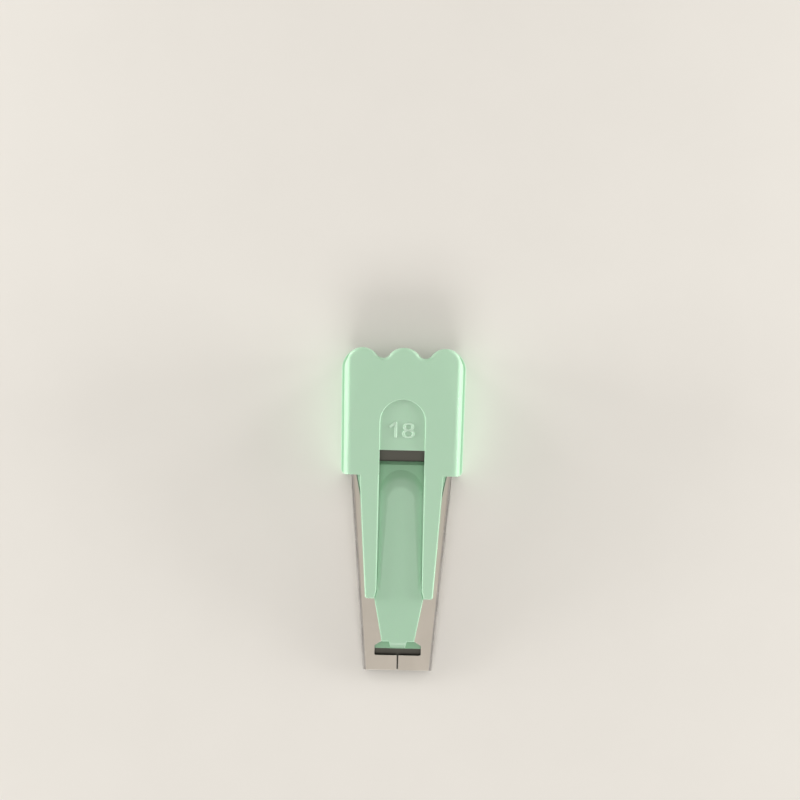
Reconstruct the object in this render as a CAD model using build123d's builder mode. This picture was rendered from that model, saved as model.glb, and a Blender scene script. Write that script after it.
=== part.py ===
from build123d import *
import math
import os

# Bias tape maker for 18 mm tape, standing on a table as it is used.
# Two plastic mouldings trap one rolled sheet metal channel, and nothing on it moves.
# Lengths are in millimetres and angles in degrees.
# The maker leans: its sheet rises from the tip, on the table, to the mouth.
# Along the leaning sheet, v runs from the tip to the mouth and w stands square to the sheet.

os.makedirs("parts", exist_ok=True)

# The tape and how the maker stands
TAPE_WIDTH = 18.0
LEAN = 7.5
LENGTH = 91.4
SEAT_GAP = 0.05

# Folding channel of sheet metal
SHEET = 0.4
TAPE_SIDE_PLAY = 0.23
WIDE_HALF_WIDTH = 14.3
TIP_HEIGHT = 2.1
WIDE_HEIGHT = 4.0
TIP_CORNER = 1.0
WIDE_CORNER = 1.4
SHEET_IN_HOUSING = 13.5
SEAM_WIDTH = 0.42
FLAP_GAP_NEAR = 6.6
FLAP_GAP_FAR = 25.2

# Window through the flaps, behind the tip
WINDOW_START = 4.25
WINDOW_LENGTH = 3.9
WINDOW_WIDTH = 12.9
WINDOW_CORNER_IN = 1.65
WINDOW_CORNER_BACK = 1.15
WINDOW_RADIUS = 0.4

# Housing
HOUSING_LENGTH = 35.9
HOUSING_SPREAD = 0.45
WALL = 1.25
SKIRT_FLARE = 1.1
SOLE_SETBACK = 1.0
LOBE_PITCH = 11.7
LOBE_RADIUS = 5.2
LOBE_DEPTH = 2.9
CROWN_EDGE = 1.2
CROWN_TAPER = 3.2
CROWN_FALL = 9.0
RIM_ROUND = 1.1
MOUTH_WRAP = 1.9
MOUTH_LEDGE = 6.0
MOUTH_FLOOR_SETBACK = 6.0
MOUTH_FLOOR = 0.8
MOUTH_FLOOR_ROUND = 0.5
FOOT_OUT = 0.6
FOOT_HEIGHT = 1.0
FOOT_CORNER = 1.4

# Slot for the fusing tape, and the number panel behind it
SLOT_SETBACK = 2.4
SLOT_LENGTH = 4.6
SLOT_LIP = 1.9
CROWN_SETBACK = 21.0
PANEL_WIDTH = 12.4
PANEL_DEPTH = 0.5
PANEL_SLOPE = 20.0

# Rails beside the channel floor
RAIL_END = 20.5
RAIL_INNER = 6.3
RAIL_WIDTH_END = 2.52
RAIL_WIDTH_ROOT = 5.55
RAIL_RISE_END = 1.5
RAIL_FLARE = 0.6
RAIL_FLARE_LENGTH = 2.4
RAIL_ROUND = 0.45
RAIL_NOSE_CHAMFER = 0.45

# Inner former that the cloth is folded round
FORMER_START = 6.1
FORMER_IN_HOUSING = 11.5
CLOTH_GAP = 0.45
FOLD_GAP = 0.35
WING_ROUND = 0.28
WEB_CLEARANCE = 0.3
TONGUE_SETBACK = 0.1
TONGUE_HALF_START = 4.55
TONGUE_RISE = 0.83
TONGUE_ROUND = 0.35
FLOOR_RISE = 0.4
FLOOR_MIDDLE = 8.0
FLOOR_DRAFT = 65.0
GUTTER_DEPTH = 0.8
GUTTER_RUN = 6.0
RAMP_LENGTH = 10.0
RAMP_LOW = 1.8
NOSE_HALF_START = 2.55
NOSE_HALF_END = 1.88
NOSE_RISE = 0.2

# Two studs under the housing, pressed into the former
STUD_ACROSS = 18.4
STUD_SETBACK = 7.0
STUD_DIAMETER = 2.6
STUD_LENGTH = 2.2
STUD_PLAY = 0.1

# Two pips on the mouth floor, in holes through the sheet
PIP_ACROSS = 20.0
PIP_SETBACK = 2.8
PIP_DIAMETER = 1.8
PIP_PLAY = 0.2

# Places along the sheet, worked out from those above
housing_start = LENGTH - HOUSING_LENGTH
sheet_end = housing_start + SHEET_IN_HOUSING
window_end = WINDOW_START + WINDOW_LENGTH
tongue_start = window_end + TONGUE_SETBACK
slot_start = housing_start + SLOT_SETBACK
slot_end = slot_start + SLOT_LENGTH
crown_centre = LENGTH - CROWN_SETBACK
floor_start = RAIL_END + RAIL_FLARE_LENGTH
gutter_middle = floor_start + GUTTER_RUN / 2
gutter_start = floor_start + GUTTER_RUN
ramp_start = slot_start - RAMP_LENGTH
former_end = housing_start + FORMER_IN_HOUSING
stud_place = housing_start + STUD_SETBACK
pip_place = sheet_end - PIP_SETBACK

# The cover's top wall lies just over the widest part of the sheet
ceiling = WIDE_HEIGHT + 2 * SEAT_GAP
crown_top = ceiling + WALL

# Planes that everything is placed by
lean_sin = math.sin(math.radians(LEAN))
lean_cos = math.cos(math.radians(LEAN))
back_y = LENGTH * lean_cos - crown_top * lean_sin
front_y = -TIP_HEIGHT * lean_sin
tip_y = -(back_y + front_y) / 2
roof_z = LENGTH * lean_sin + crown_top * lean_cos

SHEET_PLANE = Plane(origin=(0, tip_y, 0), x_dir=(1, 0, 0), z_dir=(0, -lean_sin, lean_cos))
ACROSS = Plane(SHEET_PLANE.origin, x_dir=SHEET_PLANE.x_dir, z_dir=-SHEET_PLANE.y_dir)
ALONG = Plane(SHEET_PLANE.origin, x_dir=SHEET_PLANE.y_dir, z_dir=SHEET_PLANE.x_dir)

# The housing's walls stand just outside the sheet where it is widest
tip_half_width = TAPE_WIDTH / 2 + TAPE_SIDE_PLAY + SHEET
sheet_top_z = sheet_end * lean_sin + (WIDE_HEIGHT - WIDE_CORNER) * lean_cos
half_front = WIDE_HALF_WIDTH + SEAT_GAP + WALL - SKIRT_FLARE * (1 - sheet_top_z / roof_z)
half_rear = half_front + HOUSING_SPREAD
crown_radius = half_rear - CROWN_EDGE
core_reach = 2 * WALL


def table_y(v, w=crown_top):
    """Return the table's y of a point at v along and w above the leaning sheet."""
    return tip_y + v * lean_cos - w * lean_sin


def between(v, near, far, v_near=0.0, v_far=housing_start):
    """Return the value at v on a straight line from near at v_near to far at v_far."""
    return near + (far - near) * (v - v_near) / (v_far - v_near)


def sheet_half(v):
    """Return half of the folding channel's width at v."""
    return between(min(v, housing_start), tip_half_width, WIDE_HALF_WIDTH)


def sheet_height(v):
    """Return the folding channel's height at v."""
    return between(min(v, housing_start), TIP_HEIGHT, WIDE_HEIGHT)


def sheet_corner(v):
    """Return the outer radius of the folding channel's rolled sides at v."""
    return between(min(v, housing_start), TIP_CORNER, WIDE_CORNER)


def flap_gap(v):
    """Return the open width between the two flaps at v, behind the window."""
    return between(min(v, housing_start), FLAP_GAP_NEAR, FLAP_GAP_FAR, window_end)


def channel_section(v, inset=0.0):
    """Return the folding channel's closed section at v, drawn in by inset."""
    height = sheet_height(v)
    with BuildSketch(ACROSS.offset(-v)) as section:
        with Locations((0, height / 2)):
            RectangleRounded(
                2 * (sheet_half(v) - inset), height - 2 * inset, sheet_corner(v) - inset
            )
    return section.sketch


def block_section(v, half_width, bottom, top):
    """Return a plain block's section at v."""
    with BuildSketch(ACROSS.offset(-v)) as section:
        with Locations((0, (bottom + top) / 2)):
            Rectangle(2 * half_width, top - bottom)
    return section.sketch


def housing_outline(z, half_start, rear_y, lobed=True, start_y=None):
    """Return the housing's outline seen from above at height z.

    Its sides spread from half_start at the front, and its rear edge has three lobes or is straight.
    """
    front = table_y(housing_start)
    start = front if start_y is None else start_y
    spread = HOUSING_SPREAD / (table_y(LENGTH) - front)
    corner = (half_start + spread * (rear_y - front) - LOBE_PITCH) / (1 + spread)
    corner_start = (LOBE_PITCH + corner, rear_y - corner)
    side_start = (half_start + spread * (start - front), start)
    reach = ((LOBE_PITCH / 2) ** 2 + LOBE_DEPTH**2) / (2 * LOBE_DEPTH)
    share = LOBE_RADIUS / reach
    join_x = LOBE_PITCH / 2 * share
    join_y = rear_y - LOBE_RADIUS + (reach - LOBE_DEPTH) * share
    with BuildSketch(Plane.XY.offset(z)) as outline:
        with BuildLine():
            Line((0, start), side_start)
            Line(side_start, corner_start)
            RadiusArc(corner_start, (LOBE_PITCH, rear_y), -corner)
            if lobed:
                RadiusArc((LOBE_PITCH, rear_y), (LOBE_PITCH - join_x, join_y), -LOBE_RADIUS)
                RadiusArc(
                    (LOBE_PITCH - join_x, join_y), (join_x, join_y), reach - LOBE_RADIUS
                )
                RadiusArc((join_x, join_y), (0, rear_y), -LOBE_RADIUS)
            else:
                Line((LOBE_PITCH, rear_y), (0, rear_y))
            mirror(about=Plane.YZ)
        make_face()
    return outline.sketch


def crown_outline(radius, drop):
    """Return the crown's outline with this rear radius, drop below the top."""
    start = housing_start - core_reach
    taper = math.radians(CROWN_TAPER)
    ahead = crown_centre - start
    half_start = (radius - ahead * math.sin(taper)) / math.cos(taper)
    side = (radius * math.cos(taper), crown_centre - radius * math.sin(taper))
    with BuildSketch(SHEET_PLANE.offset(crown_top - drop)) as outline:
        with BuildLine():
            Line((0, start), (half_start, start))
            Line((half_start, start), side)
            RadiusArc(side, (0, crown_centre + radius), -radius)
            mirror(about=Plane.YZ)
        make_face()
    return outline.sketch


# Folding channel: a rolled tube of sheet, opened along its top
with BuildPart() as folding_channel:
    loft(sections=[channel_section(0), channel_section(housing_start)], ruled=True)
    extrude(channel_section(housing_start), amount=-(sheet_end - housing_start))
    loft(
        sections=[channel_section(0, SHEET), channel_section(housing_start, SHEET)],
        ruled=True,
        mode=Mode.SUBTRACT,
    )
    extrude(
        channel_section(housing_start, SHEET),
        amount=-(sheet_end - housing_start),
        mode=Mode.SUBTRACT,
    )
    # Seam at the tip, and the flaps' edges that draw apart towards the mouth
    with BuildSketch(SHEET_PLANE.offset(TIP_HEIGHT / 2)):
        with BuildLine():
            Polyline(
                (SEAM_WIDTH / 2, 0),
                (SEAM_WIDTH / 2, WINDOW_START),
                (FLAP_GAP_NEAR / 2, window_end),
                (FLAP_GAP_FAR / 2, housing_start),
                (FLAP_GAP_FAR / 2, sheet_end),
                (0, sheet_end),
            )
            Line((0, 0), (SEAM_WIDTH / 2, 0))
            mirror(about=Plane.YZ)
        make_face()
    extrude(amount=WIDE_HEIGHT, mode=Mode.SUBTRACT)
    # Window, square at its front and chamfered at its back corners
    with BuildSketch(SHEET_PLANE.offset(TIP_HEIGHT / 2)) as window:
        with BuildLine():
            Polyline(
                (0, WINDOW_START),
                (WINDOW_WIDTH / 2, WINDOW_START),
                (WINDOW_WIDTH / 2, window_end - WINDOW_CORNER_BACK),
                (WINDOW_WIDTH / 2 - WINDOW_CORNER_IN, window_end),
                (0, window_end),
            )
            mirror(about=Plane.YZ)
        make_face()
        fillet(window.vertices().group_by(Axis.Y)[0], WINDOW_RADIUS)
    extrude(amount=WIDE_HEIGHT, mode=Mode.SUBTRACT)
    # Holes that the mouth floor's pips stand in
    with BuildSketch(SHEET_PLANE.offset(-SHEET)):
        with Locations((-PIP_ACROSS / 2, pip_place), (PIP_ACROSS / 2, pip_place)):
            Circle(PIP_DIAMETER / 2 + PIP_PLAY / 2)
    extrude(amount=3 * SHEET, mode=Mode.SUBTRACT)

# Inner former: wings inside the sheet, a web between the flaps, and the tongue above them
wing_bottom = SHEET + CLOTH_GAP
wing_gap = SHEET + FOLD_GAP
floor_half = RAIL_INNER - SEAT_GAP
tongue_half_end = floor_half + RAIL_FLARE
tongue_front = sheet_height(tongue_start) + SEAT_GAP + TONGUE_RISE
floor_top = sheet_height(ramp_start) + SEAT_GAP + FLOOR_RISE


def seat_height(v):
    """Return the height at v of what lies on the flaps."""
    return sheet_height(v) + SEAT_GAP


def floor_height(v):
    """Return the height at v of the tongue's top and of the floor's middle."""
    return between(v, tongue_front, floor_top, tongue_start, ramp_start)


def web_section(v):
    """Return the section at v of the web that fills the space between the flaps."""
    return block_section(v, flap_gap(v) / 2 - WEB_CLEARANCE, wing_bottom, seat_height(v))


with BuildPart() as wings:
    with BuildSketch(ALONG):
        with BuildLine():
            Polyline(
                (FORMER_START, wing_bottom),
                (FORMER_START, sheet_height(FORMER_START) - wing_gap),
                (housing_start, WIDE_HEIGHT - wing_gap),
                (housing_start, wing_bottom),
                close=True,
            )
        make_face()
    extrude(amount=WIDE_HALF_WIDTH, both=True)
    with BuildSketch(SHEET_PLANE):
        with BuildLine():
            Polyline(
                (0, FORMER_START),
                (sheet_half(FORMER_START) - wing_bottom, FORMER_START),
                (WIDE_HALF_WIDTH - wing_bottom, housing_start),
                (0, housing_start),
            )
            mirror(about=Plane.YZ)
        make_face()
    extrude(amount=WIDE_HEIGHT, mode=Mode.INTERSECT)
    wing_sides = wings.faces().filter_by(lambda face: abs(face.normal_at().X) > 0.9)
    fillet(
        wing_sides.edges().filter_by(lambda edge: edge.length > housing_start / 2), WING_ROUND
    )

with BuildPart() as tongue:
    with BuildSketch(ALONG):
        with BuildLine():
            Polyline(
                (tongue_start, seat_height(tongue_start)),
                (tongue_start, tongue_front),
                (ramp_start, floor_top),
                (ramp_start, seat_height(ramp_start)),
                close=True,
            )
        make_face()
    extrude(amount=WIDE_HALF_WIDTH, both=True)
    with BuildSketch(SHEET_PLANE):
        with BuildLine():
            Polyline(
                (0, tongue_start),
                (TONGUE_HALF_START, tongue_start),
                (tongue_half_end, RAIL_END),
                (floor_half, RAIL_END + RAIL_FLARE_LENGTH),
                (floor_half, ramp_start),
                (0, ramp_start),
            )
            mirror(about=Plane.YZ)
        make_face()
    extrude(amount=2 * WIDE_HEIGHT, mode=Mode.INTERSECT)
    tongue_tops = tongue.faces().filter_by(
        lambda face: face.normal_at().dot(SHEET_PLANE.z_dir) > 0.9
    )
    tongue_rims = tongue_tops.edges().filter_by(
        lambda edge: SHEET_PLANE.to_local_coords(edge.center()).Y < ramp_start - SEAT_GAP
    )
    fillet(tongue_rims, TONGUE_ROUND)

# Nose that leads the fusing tape down through the window
with BuildPart() as nose:
    nose_root = tongue_start + TONGUE_ROUND
    nose_low = sheet_height(FORMER_START) - wing_gap + NOSE_RISE
    with BuildSketch(ALONG):
        with BuildLine():
            Polyline(
                (FORMER_START, nose_low),
                (FORMER_START, wing_bottom),
                (nose_root, wing_bottom),
                (nose_root, tongue_front),
            )
            Spline(
                (FORMER_START, nose_low),
                (nose_root, tongue_front),
                tangents=[(1, 2), (1, 0)],
            )
        make_face()
    extrude(amount=NOSE_HALF_START, both=True)
    with BuildSketch(SHEET_PLANE):
        with BuildLine():
            Polyline(
                (0, FORMER_START),
                (NOSE_HALF_END, FORMER_START),
                (NOSE_HALF_START, nose_root),
                (0, nose_root),
            )
            mirror(about=Plane.YZ)
        make_face()
    extrude(amount=WIDE_HEIGHT, mode=Mode.INTERSECT)

with BuildPart() as floor_middle:
    with BuildSketch(SHEET_PLANE.offset(floor_top)):
        with Locations((0, (floor_start + ramp_start) / 2)):
            Rectangle(FLOOR_MIDDLE, ramp_start - floor_start)
        with Locations((0, ramp_start)):
            Circle(FLOOR_MIDDLE / 2)
    extrude(amount=-(floor_top - RAMP_LOW), taper=-FLOOR_DRAFT)
    with BuildSketch(ALONG):
        with BuildLine():
            Polyline(
                (floor_start, seat_height(floor_start)),
                (floor_start, floor_height(floor_start)),
                (ramp_start, floor_top),
                (slot_start, floor_top),
                (slot_start, RAMP_LOW),
                (gutter_start, RAMP_LOW),
                (gutter_middle, seat_height(gutter_middle)),
                close=True,
            )
        make_face()
    extrude(amount=floor_half, both=True, mode=Mode.INTERSECT)

with BuildPart() as inner_former:
    add(wings.part)
    add(tongue.part)
    loft(sections=[web_section(tongue_start), web_section(housing_start)], ruled=True)
    extrude(web_section(housing_start), amount=-FORMER_IN_HOUSING)
    add(nose.part)
    # Gutters beside the floor's middle, the ramp to the slot's lip, and the open bay behind it
    with BuildSketch(ALONG):
        with BuildLine():
            Polyline(
                (floor_start, floor_height(floor_start)),
                (floor_start, 2 * crown_top),
                (former_end + WALL, 2 * crown_top),
                (former_end + WALL, 0),
                (slot_start + SLOT_LIP, 0),
                (slot_start, RAMP_LOW),
                (ramp_start, floor_top - GUTTER_DEPTH),
                (gutter_start, floor_height(gutter_start) - GUTTER_DEPTH),
                close=True,
            )
        make_face()
    extrude(amount=floor_half, both=True, mode=Mode.SUBTRACT)
    add(floor_middle.part)
    # Sockets for the housing's studs
    with BuildSketch(SHEET_PLANE.offset(seat_height(housing_start))):
        with Locations((-STUD_ACROSS / 2, stud_place), (STUD_ACROSS / 2, stud_place)):
            Circle(STUD_DIAMETER / 2 + STUD_PLAY / 2)
    extrude(amount=-(STUD_LENGTH + STUD_PLAY), mode=Mode.SUBTRACT)

# Rails: two long arms that lie on the flaps, either side of the channel floor
rail_root = housing_start + WALL

with BuildPart() as rails:
    with BuildSketch(ALONG):
        with BuildLine():
            Polyline(
                (RAIL_END, seat_height(RAIL_END)),
                (RAIL_END, seat_height(RAIL_END) + RAIL_RISE_END),
                (housing_start, crown_top),
                (rail_root, crown_top),
                (rail_root, seat_height(housing_start)),
                (housing_start, seat_height(housing_start)),
                close=True,
            )
        make_face()
    extrude(amount=2 * WIDE_HALF_WIDTH, both=True)
    with BuildSketch(SHEET_PLANE) as rail_plan:
        with BuildLine():
            Polyline(
                (RAIL_INNER + RAIL_FLARE, RAIL_END),
                (RAIL_INNER + RAIL_FLARE + RAIL_WIDTH_END, RAIL_END),
                (RAIL_INNER + RAIL_WIDTH_ROOT, rail_root),
                (RAIL_INNER, rail_root),
                (RAIL_INNER, RAIL_END + RAIL_FLARE_LENGTH),
                close=True,
            )
        make_face()
        chamfer(rail_plan.vertices().sort_by(Axis.Y)[:2].sort_by(Axis.X)[-1], RAIL_NOSE_CHAMFER)
        mirror(about=Plane.YZ)
    extrude(amount=2 * crown_top, mode=Mode.INTERSECT)
    rail_tops = rails.faces().filter_by(
        lambda face: face.normal_at().dot(SHEET_PLANE.z_dir) > 0.9
    )
    rail_rims = rail_tops.edges().filter_by(
        lambda edge: SHEET_PLANE.to_local_coords(edge.center()).Y < rail_root - SEAT_GAP
    )
    fillet(rail_rims, RAIL_ROUND)

# Housing: outer block, and the space inside it below the top wall
front = table_y(housing_start)
rear = table_y(LENGTH)
sole_rear = rear - SOLE_SETBACK
sole_half = half_front + SKIRT_FLARE
crown_drop = 2 * roof_z
crown_spread = crown_drop / math.tan(math.radians(CROWN_FALL))

with BuildPart() as inner_space:
    loft(
        sections=[
            housing_outline(roof_z, half_front - WALL, rear - WALL, False, front - core_reach),
            housing_outline(0, sole_half - WALL, sole_rear - WALL, False, front - core_reach),
        ],
        ruled=True,
    )
    with BuildSketch(Plane.XY):
        with Locations((0, rear)):
            Rectangle(2 * (half_rear - MOUTH_WRAP), 4 * LOBE_RADIUS)
    extrude(amount=roof_z)
    loft(
        sections=[
            crown_outline(crown_radius, WALL),
            crown_outline(crown_radius + crown_spread, WALL + crown_drop),
        ],
        ruled=True,
        mode=Mode.INTERSECT,
    )

with BuildPart() as housing_block:
    loft(
        sections=[
            housing_outline(roof_z, half_front, rear),
            housing_outline(0, sole_half, sole_rear),
        ],
        ruled=True,
    )

with BuildPart() as mouth_floor:
    add(housing_block.part)
    floor_end = LENGTH - MOUTH_FLOOR_SETBACK
    ledge_end = sheet_end + PIP_PLAY
    with BuildSketch(ALONG) as floor_profile:
        with BuildLine():
            Polyline(
                (sheet_end - MOUTH_LEDGE, -MOUTH_FLOOR),
                (floor_end, -MOUTH_FLOOR),
                (floor_end, SHEET),
                (ledge_end, SHEET),
                (ledge_end, -SEAT_GAP),
                (sheet_end - MOUTH_LEDGE, -SEAT_GAP),
                close=True,
            )
        make_face()
        fillet(floor_profile.vertices().group_by(Axis.X)[-1], MOUTH_FLOOR_ROUND)
    extrude(amount=2 * half_rear, both=True, mode=Mode.INTERSECT)

# Top cover: crown, skirts and foot, mouth floor, rails, panel and slot
with BuildPart() as top_cover:
    add(housing_block.part)
    loft(
        sections=[
            crown_outline(crown_radius, 0),
            crown_outline(crown_radius + crown_spread, crown_drop),
        ],
        ruled=True,
        mode=Mode.INTERSECT,
    )
    crown_faces = top_cover.faces().filter_by(lambda face: face.normal_at().Z > 0.9)
    rim = [
        edge
        for edge in crown_faces.edges()
        if len([face for face in crown_faces if edge in face.edges()]) == 1
        and edge.center().Y > front + SEAT_GAP
    ]
    fillet(rim, RIM_ROUND)
    with BuildSketch(Plane.XY) as foot_plan:
        add(housing_outline(0, sole_half + FOOT_OUT, sole_rear + FOOT_OUT))
        fillet(foot_plan.vertices().group_by(Axis.Y)[0], FOOT_CORNER)
    extrude(amount=FOOT_HEIGHT)
    add(inner_space.part, mode=Mode.SUBTRACT)
    add(mouth_floor.part)
    add(rails.part)
    # Channel and slot between the rails
    with BuildSketch(SHEET_PLANE.offset(SHEET)):
        with Locations((0, (housing_start - WALL + slot_end) / 2)):
            Rectangle(2 * RAIL_INNER, slot_end - housing_start + WALL)
    extrude(amount=2 * crown_top, mode=Mode.SUBTRACT)
    # Recessed panel with an arched top, its wall leaning outward
    with BuildSketch(SHEET_PLANE.offset(crown_top - PANEL_DEPTH)):
        with Locations((0, (slot_end + crown_centre) / 2)):
            Rectangle(PANEL_WIDTH, crown_centre - slot_end)
        with Locations((0, crown_centre)):
            Circle(PANEL_WIDTH / 2)
    extrude(amount=2 * PANEL_DEPTH, taper=-PANEL_SLOPE, mode=Mode.SUBTRACT)
    # Studs that press into the former
    with BuildSketch(SHEET_PLANE.offset(ceiling + WALL / 2)):
        with Locations((-STUD_ACROSS / 2, stud_place), (STUD_ACROSS / 2, stud_place)):
            Circle(STUD_DIAMETER / 2)
    extrude(amount=-(STUD_LENGTH + SEAT_GAP + WALL / 2))
    # Pips that stand in the sheet's holes
    with BuildSketch(SHEET_PLANE.offset(-MOUTH_FLOOR / 2)):
        with Locations((-PIP_ACROSS / 2, pip_place), (PIP_ACROSS / 2, pip_place)):
            Circle(PIP_DIAMETER / 2)
    extrude(amount=MOUTH_FLOOR / 2 + SHEET)

top_cover.part.label = "top_cover"
export_step(top_cover.part, "parts/top_cover.step")

inner_former.part.label = "inner_former"
export_step(inner_former.part, "parts/inner_former.step")

folding_channel.part.label = "folding_channel"
export_step(folding_channel.part, "parts/folding_channel.step")
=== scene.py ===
"""Looks, light and camera for a bias tape maker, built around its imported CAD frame."""

import logging
import math
from dataclasses import dataclass
from enum import Enum
from typing import Callable

import bmesh
import bpy
from mathutils import Matrix, Vector
from mathutils.bvhtree import BVHTree


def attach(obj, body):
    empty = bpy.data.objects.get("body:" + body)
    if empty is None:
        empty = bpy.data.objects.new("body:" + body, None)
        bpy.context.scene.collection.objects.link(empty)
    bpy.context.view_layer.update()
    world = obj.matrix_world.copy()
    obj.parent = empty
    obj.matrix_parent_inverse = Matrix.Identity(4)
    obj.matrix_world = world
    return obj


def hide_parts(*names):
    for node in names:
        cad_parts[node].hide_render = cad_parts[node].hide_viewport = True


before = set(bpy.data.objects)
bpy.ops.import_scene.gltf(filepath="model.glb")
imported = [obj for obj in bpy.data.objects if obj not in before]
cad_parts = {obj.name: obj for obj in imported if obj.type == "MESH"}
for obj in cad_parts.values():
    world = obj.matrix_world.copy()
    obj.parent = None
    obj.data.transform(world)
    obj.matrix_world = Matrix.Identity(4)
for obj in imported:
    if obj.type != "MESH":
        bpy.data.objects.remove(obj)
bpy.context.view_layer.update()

LOG = logging.getLogger("bias_tape_maker")
MM = 0.001


@dataclass(frozen=True)
class LeaningSheet:
    """The maker's own axes, which lean on the table, in metres.

    u runs across the maker, v along its sheet from the tip to the mouth, and w square to the sheet.
    """

    lean: float = math.radians(7.5)
    tip_y: float = -44.823 * MM
    crown_top: float = 5.35 * MM
    panel_depth: float = 0.5 * MM
    housing_start: float = 55.5 * MM
    sheet_thickness: float = 0.4 * MM
    tip_height: float = 2.1 * MM
    wide_height: float = 4.0 * MM
    tip_half_width: float = 9.63 * MM
    wide_half_width: float = 14.3 * MM

    def matrix(self) -> Matrix:
        """Return the matrix that carries sheet coordinates to the table's frame."""
        return Matrix.Translation((0, self.tip_y, 0)) @ Matrix.Rotation(self.lean, 4, "X")

    def from_table(self, point: Vector) -> Vector:
        """Return a point of the table's frame in sheet coordinates."""
        return self.matrix().inverted() @ point


SHEET = LeaningSheet()


@dataclass(frozen=True)
class EdgeRule:
    """Which edges of a moulding are rounded, and by how much.

    Args:
        least: Smallest turn between the two faces, in degrees.
        most: Largest turn between the two faces, in degrees.
        width: Width of the rounding, in metres.
        segments: Number of strips across the rounding.
        where: Test of the edge's middle, in sheet coordinates.
        stray: How far the rounding may depart from the surface, in metres.
        highlight_and_wear: How strongly the rounding is marked as a lighter edge, a painted
            highlight on the plastic and a rubbed, brighter edge on the metal, from 0 to 1.
        hollow: Whether hollow edges are rounded too.
    """

    least: float
    most: float
    width: float
    segments: int
    where: Callable[[Vector], bool]
    stray: float
    highlight_and_wear: float = 1.0
    hollow: bool = True

    def picks(self, edge: bmesh.types.BMEdge) -> bool:
        """Return whether this rule rounds the edge."""
        if len(edge.link_faces) != 2 or not (self.hollow or edge.is_convex):
            return False
        turn = math.degrees(edge.calc_face_angle(0.0))
        middle = (edge.verts[0].co + edge.verts[1].co) / 2
        return self.least < turn < self.most and self.where(SHEET.from_table(middle))


class SurfaceGauge:
    """Tells whether a reworked mesh still lies on the CAD surface that it came from."""

    touching: float = 0.02 * MM
    least_area: float = 1e-9
    spare_area: float = 3e-8

    def __init__(self, shape: bmesh.types.BMesh) -> None:
        """Keep the surface that is measured against.

        Args:
            shape: The CAD surface, before any rework.
        """
        self._tree = BVHTree.FromBMesh(shape)

    def accepts(self, shape: bmesh.types.BMesh, stray: float) -> bool:
        """Return whether no corner and no triangle strays from the surface.

        Args:
            shape: The reworked mesh.
            stray: How far it may depart from the surface, in metres.

        Returns:
            True where the mesh keeps to the surface and faces the same way.
        """
        if max(self._tree.find_nearest(vert.co)[3] for vert in shape.verts) > stray:
            return False
        flat = shape.copy()
        bmesh.ops.triangulate(flat, faces=flat.faces)
        flat.normal_update()
        strayed = sum(face.calc_area() for face in flat.faces if self._strays(face, stray))
        flat.free()
        return strayed < self.spare_area

    def _strays(self, face: bmesh.types.BMFace, stray: float) -> bool:
        """Return whether one triangle stands off the surface or faces away from it."""
        if face.calc_area() < self.least_area:
            return False
        _, normal, _, gap = self._tree.find_nearest(face.calc_center_median())
        faces_away = gap < self.touching and face.normal.dot(normal) < 0.0
        return gap > stray or faces_away


class EdgeRounder:
    """Rounds a mesh's edges, run by run, as far as it stays on the CAD surface."""

    least_run: float = 1.0 * MM
    straight_on: float = -0.8

    def __init__(self, shape: bmesh.types.BMesh, rule: EdgeRule, gauge: SurfaceGauge) -> None:
        """Keep what is rounded and how.

        Args:
            shape: The merged mesh.
            rule: Which edges are rounded.
            gauge: The test that each step has to pass.
        """
        self._shape = shape
        self._rule = rule
        self._gauge = gauge

    def rounded(self) -> tuple[bmesh.types.BMesh, float, float]:
        """Return the rounded mesh, the length rounded and the length picked, in metres.

        The longest runs come first, and a run is kept only while the whole mesh is accepted.
        """
        self._shape.edges.index_update()
        self._shape.edges.ensure_lookup_table()
        runs = sorted(self._runs(), key=lambda run: (-self._length(run), run[0]))
        kept: list[int] = []
        best = self._shape.copy()
        for run in runs:
            if self._length(run) < self.least_run:
                continue
            trial = self._bevelled(kept + run)
            if self._gauge.accepts(trial, self._rule.stray):
                kept += run
                best.free()
                best = trial
            else:
                trial.free()
        return best, self._length(kept), sum(self._length(run) for run in runs)

    def _length(self, run: list[int]) -> float:
        """Return the length of these edges together, in metres."""
        return sum(self._shape.edges[index].calc_length() for index in run)

    def _bevelled(self, chosen: list[int]) -> bmesh.types.BMesh:
        """Return a copy with these edges rounded and their new faces marked."""
        trial = self._shape.copy()
        trial.edges.ensure_lookup_table()
        marks = trial.loops.layers.float["edge"]
        made = bmesh.ops.bevel(
            trial,
            geom=[trial.edges[index] for index in chosen],
            offset=self._rule.width,
            offset_type="OFFSET",
            segments=self._rule.segments,
            profile=0.5,
            affect="EDGES",
            material=-1,
            clamp_overlap=False,
            loop_slide=True,
        )
        for face in made["faces"]:
            for loop in face.loops:
                loop[marks] = self._rule.highlight_and_wear
        return trial

    def _runs(self) -> list[list[int]]:
        """Return the picked edges, as runs that end where they turn or branch."""
        picked = [edge for edge in self._shape.edges if self._rule.picks(edge)]
        chosen = {edge.index for edge in picked}
        seen: set[int] = set()
        runs: list[list[int]] = []
        for start in picked:
            if start.index in seen:
                continue
            seen.add(start.index)
            run, queue = [start.index], [start]
            while queue:
                for edge in self._carried_on(queue.pop(), chosen):
                    if edge.index not in seen:
                        seen.add(edge.index)
                        run.append(edge.index)
                        queue.append(edge)
            runs.append(run)
        return runs

    def _carried_on(
        self, edge: bmesh.types.BMEdge, chosen: set[int]
    ) -> list[bmesh.types.BMEdge]:
        """Return the picked edges that carry this one on, past either end."""
        found = []
        for vert in edge.verts:
            near = [other for other in vert.link_edges if other.index in chosen]
            if len(near) != 2:
                continue
            other = near[0] if near[1] == edge else near[1]
            back = (edge.other_vert(vert).co - vert.co).normalized()
            ahead = (other.other_vert(vert).co - vert.co).normalized()
            if back.dot(ahead) < self.straight_on:
                found.append(other)
        return found


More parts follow.
